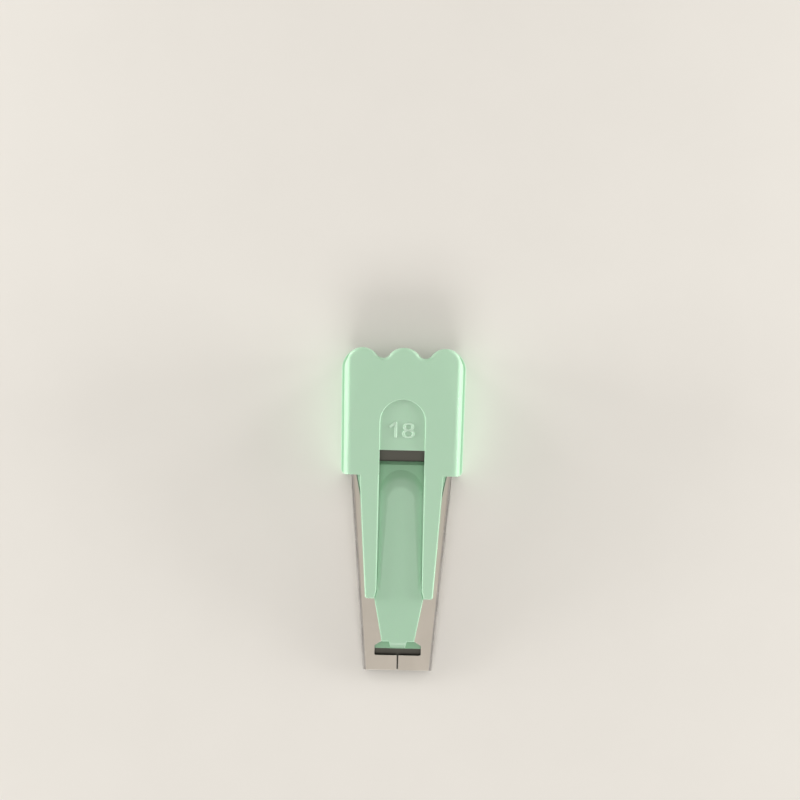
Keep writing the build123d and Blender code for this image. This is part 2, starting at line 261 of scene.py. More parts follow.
def add_node(
    tree: bpy.types.NodeTree,
    kind: str,
    values: dict[str, object] | None = None,
    **settings: object,
) -> bpy.types.Node:
    """Return a new node.

    Args:
        tree: The tree that it is added to.
        kind: The node's type.
        values: The node's own input values, by socket name.
        settings: Attributes that are set on the node.

    Returns:
        The node.
    """
    node = tree.nodes.new(kind)
    for label, value in settings.items():
        setattr(node, label, value)
    for label, value in (values or {}).items():
        node.inputs[label].default_value = value
    return node


class Grain(Enum):
    """Shader node groups that more than one finish uses."""

    MOULDED = "moulded_grain"
    HANDLED = "handling_marks"
    EDGE = "edge_softening"


class GroupShop:
    """Makes each shared node group once and hands it out."""

    mottle_detail: float = 4.0
    mottle_roughness: float = 0.55
    grain_detail: float = 2.0
    grain_depth: float = 0.03 * MM
    scratch_turn: float = math.radians(34)
    scratch_thinness: float = 0.03
    scratch_detail: float = 2.0
    scratch_from: float = 0.7
    scratch_to: float = 0.76
    smudge_detail: float = 5.0
    smudge_swirl: float = 0.6
    smudge_from: float = 0.42
    smudge_to: float = 0.68
    break_detail: float = 3.0

    def __init__(self) -> None:
        """Start with no group made."""
        self._made: dict[Grain, bpy.types.ShaderNodeTree] = {}

    def take(self, grain: Grain) -> bpy.types.ShaderNodeTree:
        """Return a shared node group, made on first use.

        Args:
            grain: Which group is wanted.

        Returns:
            The node group.
        """
        if grain not in self._made:
            makers = {
                Grain.MOULDED: self._moulded_grain,
                Grain.HANDLED: self._handling_marks,
                Grain.EDGE: self._edge_softening,
            }
            self._made[grain] = makers[grain]()
        return self._made[grain]

    @staticmethod
    def _new(
        name: str, inputs: dict[str, tuple[str, float]], outputs: dict[str, str]
    ) -> tuple[bpy.types.ShaderNodeTree, bpy.types.Node, bpy.types.Node]:
        """Return an empty node group with its sockets, its input node and its output node."""
        tree = bpy.data.node_groups.new(name, "ShaderNodeTree")
        for label, (kind, default) in inputs.items():
            socket = tree.interface.new_socket(label, in_out="INPUT", socket_type=kind)
            if kind == "NodeSocketFloat":
                socket.default_value = default
        for label, kind in outputs.items():
            tree.interface.new_socket(label, in_out="OUTPUT", socket_type=kind)
        return tree, tree.nodes.new("NodeGroupInput"), tree.nodes.new("NodeGroupOutput")

    def _moulded_grain(self) -> bpy.types.ShaderNodeTree:
        """Return the group for moulded plastic: cloudy mottling, and a fine spark-eroded grain."""
        tree, given, out = self._new(
            Grain.MOULDED.value,
            {
                "Vector": ("NodeSocketVector", 0.0),
                "Mottle Scale": ("NodeSocketFloat", 220.0),
                "Grain Scale": ("NodeSocketFloat", 4200.0),
                "Bump": ("NodeSocketFloat", 0.05),
            },
            {"Mottle": "NodeSocketFloat", "Normal": "NodeSocketVector"},
        )
        mottle = add_node(
            tree,
            "ShaderNodeTexNoise",
            {"Detail": self.mottle_detail, "Roughness": self.mottle_roughness},
        )
        grain = add_node(tree, "ShaderNodeTexNoise", {"Detail": self.grain_detail})
        bump = add_node(tree, "ShaderNodeBump", {"Distance": self.grain_depth})
        link = tree.links.new
        link(given.outputs["Vector"], mottle.inputs["Vector"])
        link(given.outputs["Mottle Scale"], mottle.inputs["Scale"])
        link(given.outputs["Vector"], grain.inputs["Vector"])
        link(given.outputs["Grain Scale"], grain.inputs["Scale"])
        link(given.outputs["Bump"], bump.inputs["Strength"])
        link(grain.outputs["Fac"], bump.inputs["Height"])
        link(mottle.outputs["Fac"], out.inputs["Mottle"])
        link(bump.outputs["Normal"], out.inputs["Normal"])
        return tree

    def _handling_marks(self) -> bpy.types.ShaderNodeTree:
        """Return the group for handling: a few fine scratches and soft smudges."""
        tree, given, out = self._new(
            Grain.HANDLED.value,
            {
                "Vector": ("NodeSocketVector", 0.0),
                "Scratch Scale": ("NodeSocketFloat", 900.0),
                "Smudge Scale": ("NodeSocketFloat", 70.0),
            },
            {"Scratches": "NodeSocketFloat", "Smudges": "NodeSocketFloat"},
        )
        turned = add_node(
            tree,
            "ShaderNodeMapping",
            {
                "Rotation": (0.0, 0.0, self.scratch_turn),
                "Scale": (1.0, self.scratch_thinness, 1.0),
            },
        )
        lines = add_node(tree, "ShaderNodeTexNoise", {"Detail": self.scratch_detail})
        thin = add_node(
            tree,
            "ShaderNodeMapRange",
            {"From Min": self.scratch_from, "From Max": self.scratch_to},
        )
        cloud = add_node(
            tree,
            "ShaderNodeTexNoise",
            {"Detail": self.smudge_detail, "Distortion": self.smudge_swirl},
        )
        soft = add_node(
            tree, "ShaderNodeMapRange", {"From Min": self.smudge_from, "From Max": self.smudge_to}
        )
        link = tree.links.new
        link(given.outputs["Vector"], turned.inputs["Vector"])
        link(turned.outputs["Vector"], lines.inputs["Vector"])
        link(given.outputs["Scratch Scale"], lines.inputs["Scale"])
        link(lines.outputs["Fac"], thin.inputs["Value"])
        link(given.outputs["Vector"], cloud.inputs["Vector"])
        link(given.outputs["Smudge Scale"], cloud.inputs["Scale"])
        link(cloud.outputs["Fac"], soft.inputs["Value"])
        link(thin.outputs["Result"], out.inputs["Scratches"])
        link(soft.outputs["Result"], out.inputs["Smudges"])
        return tree

    def _edge_softening(self) -> bpy.types.ShaderNodeTree:
        """Return the group for edges: the rounded edges' own mark, broken up by a noise."""
        tree, given, out = self._new(
            Grain.EDGE.value,
            {
                "Vector": ("NodeSocketVector", 0.0),
                "Edge": ("NodeSocketFloat", 0.0),
                "Break Scale": ("NodeSocketFloat", 600.0),
                "Break": ("NodeSocketFloat", 0.3),
            },
            {"Mask": "NodeSocketFloat"},
        )
        noise = add_node(tree, "ShaderNodeTexNoise", {"Detail": self.break_detail})
        less = add_node(tree, "ShaderNodeMath", operation="MULTIPLY")
        rest = add_node(tree, "ShaderNodeMath", operation="SUBTRACT")
        rest.inputs[0].default_value = 1.0
        mask = add_node(tree, "ShaderNodeMath", operation="MULTIPLY", use_clamp=True)
        link = tree.links.new
        link(given.outputs["Vector"], noise.inputs["Vector"])
        link(given.outputs["Break Scale"], noise.inputs["Scale"])
        link(noise.outputs["Fac"], less.inputs[0])
        link(given.outputs["Break"], less.inputs[1])
        link(less.outputs["Value"], rest.inputs[1])
        link(given.outputs["Edge"], mask.inputs[0])
        link(rest.outputs["Value"], mask.inputs[1])
        link(mask.outputs["Value"], out.inputs["Mask"])
        return tree


class NodeBench:
    """One material's node tree, with short ways to add and join nodes."""

    def __init__(self, name: str, groups: GroupShop) -> None:
        """Start a material with an empty Principled shader.

        Args:
            name: The material's name.
            groups: Where the shared node groups come from.
        """
        self.material = bpy.data.materials.new(name)
        self.material.use_nodes = True
        self.tree = self.material.node_tree
        self.groups = groups
        self.shader = self.tree.nodes["Principled BSDF"]
        self.place = self.add("ShaderNodeTexCoord").outputs["Object"]

    def add(
        self, kind: str, values: dict[str, object] | None = None, **settings: object
    ) -> bpy.types.Node:
        """Return a new node, with these input values and attributes set on it."""
        return add_node(self.tree, kind, values, **settings)

    def set_shader(self, values: dict[str, object]) -> None:
        """Set the Principled shader's own values, by socket name."""
        for label, value in values.items():
            self.shader.inputs[label].default_value = value

    def along_sheet(self) -> bpy.types.NodeSocket:
        """Return the place in sheet coordinates."""
        turned = self.add(
            "ShaderNodeMapping",
            {"Location": (0.0, SHEET.tip_y, 0.0), "Rotation": (SHEET.lean, 0.0, 0.0)},
            vector_type="TEXTURE",
        )
        self.join(self.place, turned.inputs["Vector"])
        return turned.outputs["Vector"]

    def join(self, start: bpy.types.NodeSocket, end: bpy.types.NodeSocket) -> None:
        """Link one socket to another."""
        self.tree.links.new(start, end)

    def group(
        self, grain: Grain, vector: bpy.types.NodeSocket, values: dict[str, float]
    ) -> bpy.types.Node:
        """Return a shared group placed in this material.

        Args:
            grain: Which group is placed.
            vector: The socket that its Vector comes from.
            values: This material's own values, by socket name.

        Returns:
            The group's node.
        """
        node = self.add("ShaderNodeGroup", node_tree=self.groups.take(grain))
        for label, value in values.items():
            node.inputs[label].default_value = value
        self.join(vector, node.inputs["Vector"])
        return node

    def highlit_and_worn_edges(self, scale: float, share: float) -> bpy.types.NodeSocket:
        """Return a mask of the rounded edges, broken up by a noise, for painted highlights on
        plastic edges and rubbed metal edges.

        Args:
            scale: How fine the noise is.
            share: How much of the mask it takes away.

        Returns:
            The mask's socket.
        """
        rim = self.group(Grain.EDGE, self.place, {"Break Scale": scale, "Break": share})
        mark = self.add("ShaderNodeAttribute", attribute_name="edge")
        self.join(mark.outputs["Fac"], rim.inputs["Edge"])
        return rim.outputs["Mask"]

    def mix(
        self,
        factor: bpy.types.NodeSocket,
        first: tuple[float, float, float] | bpy.types.NodeSocket,
        second: tuple[float, float, float] | bpy.types.NodeSocket,
        strength: float = 1.0,
    ) -> bpy.types.NodeSocket:
        """Return a colour mixed by a mask.

        Args:
            factor: The mask.
            first: The colour where the mask is black.
            second: The colour where the mask is white.
            strength: How far the mask goes towards the second colour.

        Returns:
            The mixed colour's socket.
        """
        scale = self.add("ShaderNodeMath", operation="MULTIPLY", use_clamp=True)
        scale.inputs[1].default_value = strength
        self.join(factor, scale.inputs[0])
        node = self.add("ShaderNodeMix", data_type="RGBA")
        self.join(scale.outputs["Value"], node.inputs["Factor"])
        for label, value in (("A", first), ("B", second)):
            socket = [s for s in node.inputs if s.name == label and s.type == "RGBA"][0]
            if isinstance(value, bpy.types.NodeSocket):
                self.join(value, socket)
            else:
                socket.default_value = (*value, 1.0)
        return [s for s in node.outputs if s.type == "RGBA"][0]

    def span(self, value: bpy.types.NodeSocket, low: float, high: float) -> bpy.types.NodeSocket:
        """Return a 0 to 1 value spread between low and high."""
        node = self.add("ShaderNodeMapRange", {"To Min": low, "To Max": high})
        self.join(value, node.inputs["Value"])
        return node.outputs["Result"]

    def sum(
        self, first: bpy.types.NodeSocket, second: bpy.types.NodeSocket, scale: float
    ) -> bpy.types.NodeSocket:
        """Return first plus second times scale."""
        node = self.add("ShaderNodeMath", operation="MULTIPLY_ADD")
        node.inputs[1].default_value = scale
        self.join(second, node.inputs[0])
        self.join(first, node.inputs[2])
        return node.outputs["Value"]


@dataclass(frozen=True)
class MintPlastic:
    """Smooth moulded plastic in a pale mint, a little translucent.

    The four floor and depth values, which place the painted shade low in the channel, are in
    metres, in sheet coordinates.
    """

    name: str
    base: tuple[float, float, float] = (0.44, 0.672, 0.502)
    cloud: tuple[float, float, float] = (0.41, 0.645, 0.472)
    # Painted highlight: rounded edges are mixed towards this lighter mint.
    edge: tuple[float, float, float] = (0.6, 0.82, 0.66)
    painted_shade: tuple[float, float, float] | None = None
    smooth: float = 0.25
    rough: float = 0.33
    floor_low: tuple[float, float] = (8.25 * MM, 3.26 * MM)
    floor_high: tuple[float, float] = (47.9 * MM, 4.19 * MM)
    painted_shade_from: float = 0.85 * MM
    painted_shade_to: float = 1.4 * MM
    mottle_scale: float = 190.0
    grain_scale: float = 5200.0
    grain_bump: float = 0.1
    scratch_scale: float = 1500.0
    smudge_scale: float = 90.0
    break_scale: float = 420.0
    break_share: float = 0.35
    cloud_share: float = 0.55
    edge_share: float = 0.3
    smudge_roughness: float = 0.06
    scratch_roughness: float = 0.15
    index: float = 1.5
    glow: float = 0.12
    glow_colour: tuple[float, float, float] = (0.6, 1.0, 0.7)
    glow_depth: float = 1.2 * MM

    def material(self, groups: GroupShop) -> bpy.types.Material:
        """Return this finish as a material.

        Args:
            groups: Where the shared node groups come from.

        Returns:
            The material.
        """
        bench = NodeBench(self.name, groups)
        grain = bench.group(
            Grain.MOULDED,
            bench.place,
            {
                "Mottle Scale": self.mottle_scale,
                "Grain Scale": self.grain_scale,
                "Bump": self.grain_bump,
            },
        )
        marks = bench.group(
            Grain.HANDLED,
            bench.place,
            {"Scratch Scale": self.scratch_scale, "Smudge Scale": self.smudge_scale},
        )
        highlight_and_wear = bench.highlit_and_worn_edges(self.break_scale, self.break_share)
        colour = bench.mix(grain.outputs["Mottle"], self.base, self.cloud, self.cloud_share)
        # Painted highlight: the rounded edges go lighter, as if catching the light.
        colour = bench.mix(highlight_and_wear, colour, self.edge, self.edge_share)
        # Painted shade: well below the channel floor the plastic is mixed towards a darker mint,
        # standing in for the shade in the gutters and on the ramp.
        if self.painted_shade is not None:
            colour = bench.mix(self._painted_shade_mask(bench), colour, self.painted_shade)
        bench.join(colour, bench.shader.inputs["Base Color"])
        roughness = bench.span(grain.outputs["Mottle"], self.smooth, self.rough)
        roughness = bench.sum(roughness, marks.outputs["Smudges"], self.smudge_roughness)
        roughness = bench.sum(roughness, marks.outputs["Scratches"], self.scratch_roughness)
        bench.join(roughness, bench.shader.inputs["Roughness"])
        bench.join(grain.outputs["Normal"], bench.shader.inputs["Normal"])
        bench.set_shader(
            {
                "IOR": self.index,
                "Subsurface Weight": self.glow,
                "Subsurface Radius": self.glow_colour,
                "Subsurface Scale": self.glow_depth,
            }
        )
        return bench.material

    def _painted_shade_mask(self, bench: NodeBench) -> bpy.types.NodeSocket:
        """Return a mask for painted shade: white well below the channel floor, in the gutters and
        on the ramp.
        """
        parts = bench.add("ShaderNodeSeparateXYZ")
        floor = bench.add(
            "ShaderNodeMapRange",
            {
                "From Min": self.floor_low[0],
                "From Max": self.floor_high[0],
                "To Min": self.floor_low[1],
                "To Max": self.floor_high[1],
            },
        )
        below = bench.add("ShaderNodeMath", operation="SUBTRACT")
        mask = bench.add(
            "ShaderNodeMapRange", {"From Min": self.painted_shade_from, "From Max": self.painted_shade_to}
        )
        bench.join(bench.along_sheet(), parts.inputs["Vector"])
        bench.join(parts.outputs["Y"], floor.inputs["Value"])
        bench.join(floor.outputs["Result"], below.inputs[0])
        bench.join(parts.outputs["Z"], below.inputs[1])
        bench.join(below.outputs["Value"], mask.inputs["Value"])
        return mask.outputs["Result"]


@dataclass(frozen=True)
class PlatedSheet:
    """Bright plated sheet metal with fine lines along its length, rubbed rolled sides, and painted
    shade on its inner faces.
    """

    name: str
    base: tuple[float, float, float] = (0.72, 0.67, 0.6)
    dull: tuple[float, float, float] = (0.6, 0.55, 0.49)
    side: tuple[float, float, float] = (0.82, 0.81, 0.8)
    groove: tuple[float, float, float] = (0.3, 0.28, 0.27)
    # Painted shade: near black for the inner faces of the folded sheet.
    inner_shade: tuple[float, float, float] = (0.16, 0.158, 0.14)
    smooth: float = 0.3
    rough: float = 0.36
    scratch_scale: float = 1100.0
    smudge_scale: float = 110.0
    break_scale: float = 900.0
    break_share: float = 0.5
    smudge_share: float = 0.2
    groove_share: float = 0.5
    edge_share: float = 0.6
    side_roughness: float = -0.12
    scratch_roughness: float = 0.12
    line_bump: float = 0.25
    line_depth: float = 0.02 * MM
    line_scale: float = 2600.0
    line_stretch: float = 0.02
    line_detail: float = 4.0
    line_roughness: float = 0.7
    line_from: float = 0.42
    line_to: float = 0.62
    inner_shade_from: float = 0.75 * SHEET.sheet_thickness
    inner_shade_to: float = 0.95 * SHEET.sheet_thickness
    side_from: float = 1.0 * MM
    side_to: float = 0.6 * MM

    def material(self, groups: GroupShop) -> bpy.types.Material:
        """Return this finish as a material.

        Args:
            groups: Where the shared node groups come from.

        Returns:
            The material.
        """
        bench = NodeBench(self.name, groups)
        along = bench.along_sheet()
        lines = self._lines(bench, along)
        side = self._rolled_side(bench, along)
        marks = bench.group(
            Grain.HANDLED,
            bench.place,
            {"Scratch Scale": self.scratch_scale, "Smudge Scale": self.smudge_scale},
        )
        highlight_and_wear = bench.highlit_and_worn_edges(self.break_scale, self.break_share)
        colour = bench.mix(marks.outputs["Smudges"], self.base, self.dull, self.smudge_share)
        colour = bench.mix(side, colour, self.side)
        streak = bench.add("ShaderNodeMath", operation="MULTIPLY", use_clamp=True)
        bench.join(lines, streak.inputs[0])
        bench.join(side, streak.inputs[1])
        colour = bench.mix(streak.outputs["Value"], colour, self.groove, self.groove_share)
        colour = bench.mix(highlight_and_wear, colour, self.side, self.edge_share)
        # Painted shade: the inner faces, seen through the slot and the window, are darkened to a
        # near black.
        colour = bench.mix(self._inner_shade_mask(bench, along), colour, self.inner_shade)
        bench.join(colour, bench.shader.inputs["Base Color"])
        bench.set_shader({"Metallic": 1.0})
        roughness = bench.span(marks.outputs["Smudges"], self.smooth, self.rough)
        roughness = bench.sum(roughness, side, self.side_roughness)
        roughness = bench.sum(roughness, marks.outputs["Scratches"], self.scratch_roughness)
        bench.join(roughness, bench.shader.inputs["Roughness"])
        bump = bench.add(
            "ShaderNodeBump", {"Strength": self.line_bump, "Distance": self.line_depth}
        )
        bench.join(lines, bump.inputs["Height"])
        bench.join(bump.outputs["Normal"], bench.shader.inputs["Normal"])
        return bench.material

    def _lines(
        self, bench: NodeBench, place: bpy.types.NodeSocket
    ) -> bpy.types.NodeSocket:
        """Return fine lines along the sheet's length, from 0 to 1."""
        stretched = bench.add("ShaderNodeMapping", {"Scale": (1.0, self.line_stretch, 1.0)})
        noise = bench.add(
            "ShaderNodeTexNoise",
            {
                "Scale": self.line_scale,
                "Detail": self.line_detail,
                "Roughness": self.line_roughness,
            },
        )
        sharp = bench.add(
            "ShaderNodeMapRange", {"From Min": self.line_from, "From Max": self.line_to}
        )
        bench.join(place, stretched.inputs["Vector"])
        bench.join(stretched.outputs["Vector"], noise.inputs["Vector"])
        bench.join(noise.outputs["Fac"], sharp.inputs["Value"])
        return sharp.outputs["Result"]

    def _inner_shade_mask(
        self, bench: NodeBench, place: bpy.types.NodeSocket
    ) -> bpy.types.NodeSocket:
        """Return a mask that is white on the sheet's inner faces, where shade is painted as a near
        black.
        """
        parts = bench.add("ShaderNodeSeparateXYZ")
        height = self._towards_mouth(bench, SHEET.tip_height, SHEET.wide_height)
        below = bench.add("ShaderNodeMath", operation="SUBTRACT")
        nearest = bench.add("ShaderNodeMath", operation="MINIMUM")
        deepest = bench.add("ShaderNodeMath", operation="MINIMUM")
        mask = bench.add(
            "ShaderNodeMapRange", {"From Min": self.inner_shade_from, "From Max": self.inner_shade_to}
        )
        bench.join(place, parts.inputs["Vector"])
        bench.join(parts.outputs["Y"], height.inputs["Value"])
        bench.join(height.outputs["Result"], below.inputs[0])
        bench.join(parts.outputs["Z"], below.inputs[1])
        bench.join(parts.outputs["Z"], nearest.inputs[0])
        bench.join(below.outputs["Value"], nearest.inputs[1])
        bench.join(nearest.outputs["Value"], deepest.inputs[0])
        bench.join(self._from_side(bench, place), deepest.inputs[1])
        bench.join(deepest.outputs["Value"], mask.inputs["Value"])
        return mask.outputs["Result"]

    def _rolled_side(
        self, bench: NodeBench, place: bpy.types.NodeSocket
    ) -> bpy.types.NodeSocket:
        """Return a mask that is white on the sheet's rolled sides."""
        mask = bench.add(
            "ShaderNodeMapRange", {"From Min": self.side_from, "From Max": self.side_to}
        )
        bench.join(self._from_side(bench, place), mask.inputs["Value"])
        return mask.outputs["Result"]

    def _from_side(
        self, bench: NodeBench, place: bpy.types.NodeSocket
    ) -> bpy.types.NodeSocket:
        """Return the distance inward from the sheet's outer side, in metres."""
        parts = bench.add("ShaderNodeSeparateXYZ")
        across = bench.add("ShaderNodeMath", operation="ABSOLUTE")
        half = self._towards_mouth(bench, SHEET.tip_half_width, SHEET.wide_half_width)
        inset = bench.add("ShaderNodeMath", operation="SUBTRACT")
        bench.join(place, parts.inputs["Vector"])
        bench.join(parts.outputs["X"], across.inputs[0])
        bench.join(parts.outputs["Y"], half.inputs["Value"])
        bench.join(half.outputs["Result"], inset.inputs[0])
        bench.join(across.outputs["Value"], inset.inputs[1])
        return inset.outputs["Value"]

    @staticmethod
    def _towards_mouth(bench: NodeBench, tip: float, wide: float) -> bpy.types.Node:
        """Return a node that grows from its tip value to its wide value along the sheet."""
        return bench.add(
            "ShaderNodeMapRange",
            {"From Max": SHEET.housing_start, "To Min": tip, "To Max": wide},
        )


@dataclass(frozen=True)
class PaleTable:
    """Plain pale tabletop with a faint tooth."""

    name: str = "pale_table"
    base: tuple[float, float, float] = (0.78, 0.765, 0.735)
    faint: tuple[float, float, float] = (0.75, 0.735, 0.705)
    mottle_scale: float = 40.0
    grain_scale: float = 1500.0
    grain_bump: float = 0.05
    roughness: float = 0.7

    def material(self, groups: GroupShop) -> bpy.types.Material:
        """Return this finish as a material."""
        bench = NodeBench(self.name, groups)
        grain = bench.group(
            Grain.MOULDED,
            bench.place,
            {
                "Mottle Scale": self.mottle_scale,
                "Grain Scale": self.grain_scale,
                "Bump": self.grain_bump,
            },
        )
        colour = bench.mix(grain.outputs["Mottle"], self.base, self.faint)
        bench.join(colour, bench.shader.inputs["Base Color"])
        bench.join(grain.outputs["Normal"], bench.shader.inputs["Normal"])
        bench.set_shader({"Roughness": self.roughness})
        return bench.material


@dataclass
class CarriedPiece:
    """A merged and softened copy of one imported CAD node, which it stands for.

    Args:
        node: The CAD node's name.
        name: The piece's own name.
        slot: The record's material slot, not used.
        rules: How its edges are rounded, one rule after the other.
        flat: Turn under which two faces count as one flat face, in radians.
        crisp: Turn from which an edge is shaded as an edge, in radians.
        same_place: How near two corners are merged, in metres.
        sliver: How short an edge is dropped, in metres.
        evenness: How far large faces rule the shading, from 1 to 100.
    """

    node: str
    name: str
    slot: str
    rules: list[EdgeRule]
    flat: float = math.radians(0.4)
    crisp: float = math.radians(38)
    same_place: float = 0.0015 * MM
    sliver: float = 0.0005 * MM
    evenness: int = 60

    def build(self, material: bpy.types.Material) -> bpy.types.Object:
        """Return the piece, dressed and riding with its node's body.

        Args:
            material: The finish of the whole piece.

        Returns:
            The piece's object.
        """
        shape = bmesh.new()
        shape.from_mesh(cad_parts[self.node].data)
        gauge = SurfaceGauge(shape)
        self._merge(shape)
        shape.loops.layers.float.new("edge")
        for rule in self.rules:
            before = shape
            shape, done, wanted = EdgeRounder(before, rule, gauge).rounded()
            before.free()
            LOG.info("%s: %.0f of %.0f mm of edges rounded", self.name, done / MM, wanted / MM)
        return self._finish(shape, material)

    def _merge(self, shape: bmesh.types.BMesh) -> None:
        """Join the loose triangles and drop the lines across flat faces."""
        bmesh.ops.remove_doubles(shape, verts=shape.verts, dist=self.same_place)
        bmesh.ops.dissolve_degenerate(shape, edges=shape.edges, dist=self.sliver)
        bmesh.ops.dissolve_limit(
            shape,
            angle_limit=self.flat,
            use_dissolve_boundaries=False,
            verts=shape.verts,
            edges=shape.edges,
            delimit=set(),
        )

    def _finish(
        self, shape: bmesh.types.BMesh, material: bpy.types.Material
    ) -> bpy.types.Object:
        """Return the object made of the shape, with smooth faces and even shading."""
        for face in shape.faces:
            face.smooth = True
        mesh = bpy.data.meshes.new(self.name)
        shape.to_mesh(mesh)
        shape.free()
        mesh.materials.clear()
        mesh.materials.append(material)
        mesh.set_sharp_from_angle(angle=self.crisp)
        piece = bpy.data.objects.new(self.name, mesh)
        bpy.context.scene.collection.objects.link(piece)
        even = piece.modifiers.new("even_shading", "WEIGHTED_NORMAL")
        even.keep_sharp = True
        even.weight = self.evenness
        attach(piece, "root")
        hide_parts(self.node)
        LOG.info("%s stands for %s with %d faces", self.name, self.node, len(mesh.polygons))
        return piece


class Mouldings:
    """The two plastic pieces: the cover, and the former that the cloth is folded round.

    Sizes are in metres, in sheet coordinates, and turns are in degrees.
    """

    edge_width: float = 0.13 * MM
    former_edge: float = 0.1 * MM
    floor_round: float = 0.45 * MM
    foot_round: float = 0.15 * MM
    stray: float = 0.15 * MM
    cover_turn: float = 34
    former_turn: float = 30
    floor_turn: float = 12
    full_turn: float = 180
    edge_strips: int = 2
    floor_strips: int = 4
    rim_margin: float = 0.5 * MM
    rim_across: float = 12.3 * MM
    rim_height: float = 2.5 * MM
    floor_across: float = 6.0 * MM
    floor_start: float = 23.5 * MM
    floor_end: float = 57.5 * MM
    floor_low: float = 1.7 * MM
    floor_top: float = 3.7 * MM

    def build(self, groups: GroupShop) -> list[bpy.types.Object]:
        """Return the two dressed pieces."""
        cover = CarriedPiece(
            "top_cover",
            "cover_moulding",
            "cover_plastic",
            [self._rule(self.cover_turn, self.edge_width, self._off_the_rim, hollow=False)],
        )
        former = CarriedPiece(
            "inner_former",
            "former_moulding",
            "former_plastic",
            [
                self._rule(self.former_turn, self.former_edge, self._off_the_floor),
                self._soft_rule(self.floor_round, self.floor_strips, self._on_the_floor_top),
                self._soft_rule(self.foot_round, self.edge_strips, self._on_the_floor),
            ],
        )
        return [
            cover.build(MintPlastic("mint_cover").material(groups)),
            former.build(
                # Painted shade: the former's mint is a darker copy of the cover's, for a channel
                # floor that lies in shade, and a darker colour still is painted low in the gutters
                # and on the ramp.
                MintPlastic(
                    "mint_former", base=(0.385, 0.61, 0.449), painted_shade=(0.315, 0.56, 0.375)
                ).material(groups)
            ),
        ]

    def _rule(
        self, least: float, width: float, where: Callable[[Vector], bool], hollow: bool = True
    ) -> EdgeRule:
        """Return a rule that rounds every edge from this turn up, and marks it for a lighter edge,
        a painted highlight.
        """
        most, strips = self.full_turn, self.edge_strips
        return EdgeRule(least, most, width, strips, where, self.stray, hollow=hollow)

    def _soft_rule(
        self, width: float, strips: int, where: Callable[[Vector], bool]
    ) -> EdgeRule:
        """Return a rule that softens the blunt edges of the channel floor, unmarked."""
        least, most = self.floor_turn, self.former_turn
        return EdgeRule(least, most, width, strips, where, self.stray, highlight_and_wear=0.0)

    def _off_the_rim(self, point: Vector) -> bool:
        """Return whether a point lies clear of the crown's filleted rim."""
        behind = point.y > SHEET.housing_start + self.rim_margin
        return not (behind and abs(point.x) > self.rim_across and point.z > self.rim_height)

    def _on_the_floor(self, point: Vector) -> bool:
        """Return whether a point lies on the channel floor's soft raised middle."""
        along = self.floor_start < point.y < self.floor_end
        return along and abs(point.x) < self.floor_across and point.z > self.floor_low

    def _on_the_floor_top(self, point: Vector) -> bool:
        """Return whether a point lies at the top of the channel floor's raised middle."""
        return self._on_the_floor(point) and point.z > self.floor_top

    def _off_the_floor(self, point: Vector) -> bool:
        """Return whether a point lies clear of the channel floor's soft raised middle."""
        return not self._on_the_floor(point)


class RolledChannel:
    """The folding channel of plated sheet."""

    edge_width: float = 0.06 * MM
    stray: float = 1.3 * edge_width

    def build(self, groups: GroupShop) -> bpy.types.Object:
        """Return the dressed channel."""
        channel = CarriedPiece(
            "folding_channel",
            "rolled_channel",
            "channel_metal",
            [
                EdgeRule(
                    least=40,
                    most=180,
                    width=self.edge_width,
                    segments=2,
                    where=lambda point: True,
                    stray=self.stray,
                )
            ],
        )
        return channel.build(PlatedSheet("plated_sheet").material(groups))


